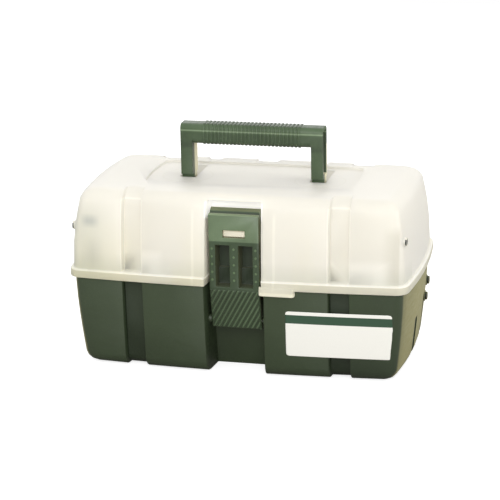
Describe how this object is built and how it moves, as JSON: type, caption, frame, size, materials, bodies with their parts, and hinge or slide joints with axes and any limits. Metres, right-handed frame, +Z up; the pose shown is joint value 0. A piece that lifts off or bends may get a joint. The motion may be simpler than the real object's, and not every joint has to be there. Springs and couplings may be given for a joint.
{
  "type": "tackle box",
  "caption": "Portable tackle box with a tapered tub, a translucent hinged lid, cantilever trays that swing out with it, a front latch and a folding carrying handle.",
  "frame": {"origin": "middle of the tub's flat underside", "axes": "+X to the right along the box, +Y to the rear hinge, +Z up"},
  "size_m": [0.3768, 0.2067, 0.2528],
  "materials": {
    "tub_plastic": "dark green moulded plastic, fine satin grain",
    "green_plastic": "green moulded plastic, satin",
    "milky_plastic": "milky translucent plastic",
    "tray_plastic": "natural cream plastic",
    "strap_plastic": "near-black plastic",
    "steel": "plain steel"
  },
  "bodies": {
    "base": {"base_tub": "tub_plastic", "base_rivets": "strap_plastic", "hinge_pins": "steel", "latch_pin": "steel"},
    "lid": {"lid_shell": "milky_plastic", "handle_pins": "steel", "lid_rivets": "strap_plastic"},
    "handle": {"handle": "green_plastic"},
    "latch": {"latch": "green_plastic"},
    "rear_straps": {"rear_strap_left": "strap_plastic", "rear_strap_right": "strap_plastic"},
    "front_straps": {"front_strap_left": "strap_plastic", "front_strap_right": "strap_plastic"},
    "lower_tray": {"lower_tray": "tray_plastic", "lower_tray_dividers": "tray_plastic", "lower_tray_rivets": "steel"},
    "upper_tray": {"upper_tray": "tray_plastic", "upper_tray_dividers": "tray_plastic", "upper_tray_rivets": "steel", "link_rivets": "steel"},
    "lid_links": {"lid_link_left": "strap_plastic", "lid_link_right": "strap_plastic"}
  },
  "joints": [
    {"name": "lid_hinge", "type": "hinge", "parent": "base", "child": "lid", "pos_m": [0, 0.0985, 0.102], "axis": [-1, 0, 0], "range_deg": [0, 100]},
    {"name": "latch_hinge", "type": "hinge", "parent": "base", "child": "latch", "pos_m": [0, -0.08, 0.058], "axis": [1, 0, 0], "range_deg": [0, 70]},
    {"name": "handle_fold", "type": "hinge", "parent": "lid", "child": "handle", "pos_m": [0, 0.002, 0.187], "axis": [-1, 0, 0], "range_deg": [0, 65]},
    {"name": "rear_strap_swing", "type": "hinge", "parent": "base", "child": "rear_straps", "pos_m": [0, 0.074, 0.064], "axis": [-1, 0, 0], "range_deg": [0, 60]},
    {"name": "front_strap_swing", "type": "hinge", "parent": "base", "child": "front_straps", "pos_m": [0, 0.06, 0.05], "axis": [-1, 0, 0], "range_deg": [0, 60]},
    {"name": "lower_tray_level", "type": "hinge", "parent": "rear_straps", "child": "lower_tray", "pos_m": [0, 0.02368, 0.09668], "axis": [-1, 0, 0], "range_deg": [-60, 0]},
    {"name": "upper_tray_level", "type": "hinge", "parent": "rear_straps", "child": "upper_tray", "pos_m": [0, -0.01993, 0.125], "axis": [-1, 0, 0], "range_deg": [-60, 0]},
    {"name": "lid_link_swing", "type": "hinge", "parent": "lid", "child": "lid_links", "pos_m": [0, -0.077, 0.153], "axis": [-1, 0, 0], "range_deg": [0, 23.4]}
  ],
  "couplings": [
    {"joint": "rear_strap_swing", "follows": "lid_hinge", "ratio": 0.6},
    {"joint": "front_strap_swing", "follows": "lid_hinge", "ratio": 0.6},
    {"joint": "lower_tray_level", "follows": "lid_hinge", "ratio": -0.6},
    {"joint": "upper_tray_level", "follows": "lid_hinge", "ratio": -0.6},
    {"joint": "lid_link_swing", "follows": "lid_hinge", "ratio": 0.234}
  ]
}
